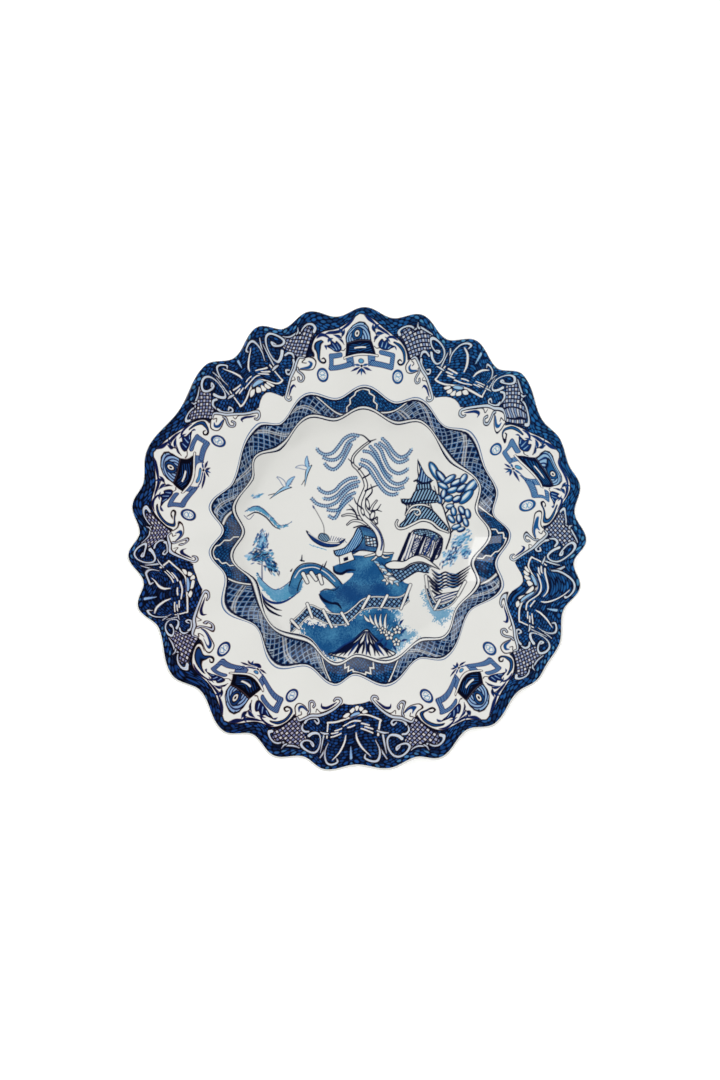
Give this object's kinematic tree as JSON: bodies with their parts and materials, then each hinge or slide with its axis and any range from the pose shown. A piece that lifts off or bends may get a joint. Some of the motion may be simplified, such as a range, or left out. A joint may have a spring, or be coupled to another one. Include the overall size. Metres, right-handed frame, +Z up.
{
  "type": "dinner plate",
  "caption": "Round china dinner plate with a free-form scalloped rim, a waved well and underglaze blue garden-and-temple decoration.",
  "frame": {"origin": "middle of the foot ring's underside, on the surface that the plate stands on", "axes": "+Z up out of the well; +Y towards the top of the printed scene; +X to its right"},
  "size_m": [0.2786, 0.2814, 0.025],
  "materials": {
    "glaze": "high gloss clear glaze over white body",
    "biscuit": "bare unglazed biscuit, fine matt",
    "border_print": "cobalt transfer print under gloss glaze",
    "band_print": "cobalt transfer print under gloss glaze",
    "scene_print": "cobalt transfer print in washes and lines under gloss glaze",
    "mark_print": "cobalt printed mark under gloss glaze"
  },
  "bodies": {
    "root": {"body": "glaze", "foot_ring": "biscuit", "border_transfer_1": "border_print", "border_transfer_2": "border_print", "border_transfer_3": "border_print", "border_transfer_4": "border_print", "border_transfer_5": "border_print", "band_transfer": "band_print", "centre_transfer": "scene_print", "backstamp_transfer": "mark_print"}
  },
  "joints": []
}
